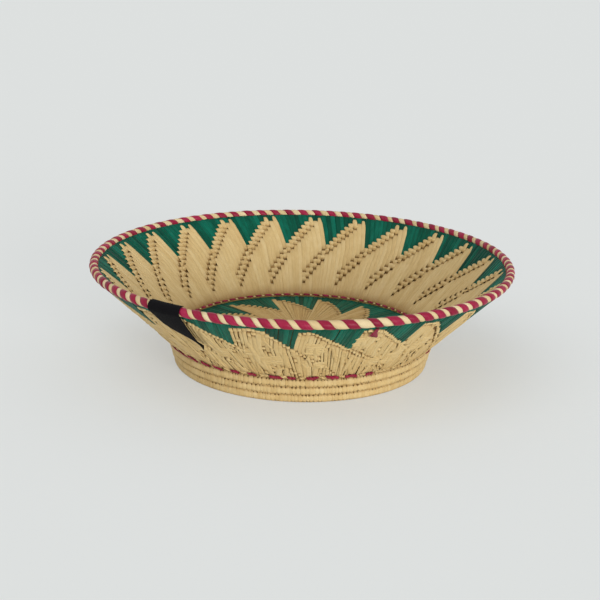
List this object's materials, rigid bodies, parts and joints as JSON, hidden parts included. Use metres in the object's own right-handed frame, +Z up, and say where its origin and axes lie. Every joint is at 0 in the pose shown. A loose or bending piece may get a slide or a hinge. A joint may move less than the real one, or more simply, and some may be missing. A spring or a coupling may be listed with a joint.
{
  "type": "coiled grass basket",
  "caption": "Shallow round coiled grass basket on a ring foot, with a flaring wall, a flame pattern in straw and green, and a rim bound in magenta.",
  "frame": {"origin": "on the ground, under the middle of the foot", "axes": "+Z up through the middle of the bowl; -Y towards the picture's camera"},
  "size_m": [0.254, 0.254, 0.0654],
  "materials": {
    "straw": "natural straw, satin",
    "dark_straw": "grass bundle, matt",
    "green_straw": "dyed straw, satin",
    "magenta_straw": "dyed straw, satin",
    "label_cloth": "woven tape, matt"
  },
  "bodies": {
    "root": {"foot_coil": "straw", "floor_coil": "dark_straw", "wall_coil": "straw", "rim_coil": "straw", "rim_wrap_magenta": "magenta_straw", "green_band_inside": "green_straw", "flame_01": "straw", "flame_02": "straw", "flame_03": "straw", "flame_04": "straw", "flame_05": "straw", "flame_06": "straw", "flame_07": "straw", "flame_08": "straw", "flame_09": "straw", "flame_10": "straw", "flame_11": "straw", "flame_12": "straw", "flame_13": "straw", "flame_14": "straw", "flame_15": "straw", "flame_16": "straw", "flame_17": "straw", "flame_18": "straw", "flame_19": "straw", "flame_20": "straw", "flame_21": "straw", "flame_22": "straw", "flame_23": "straw", "flame_24": "straw", "green_points_outside": "green_straw", "green_floor": "green_straw", "floor_petal_01": "straw", "floor_petal_02": "straw", "floor_petal_03": "straw", "floor_petal_04": "straw", "floor_petal_05": "straw", "floor_petal_06": "straw", "floor_petal_07": "straw", "floor_petal_08": "straw", "floor_petal_09": "straw", "floor_petal_10": "straw", "floor_petal_11": "straw", "floor_petal_12": "straw", "floor_petal_13": "straw", "floor_petal_14": "straw", "floor_edge_stitches": "magenta_straw", "foot_edge_stitches": "magenta_straw", "label": "label_cloth"}
  },
  "joints": []
}
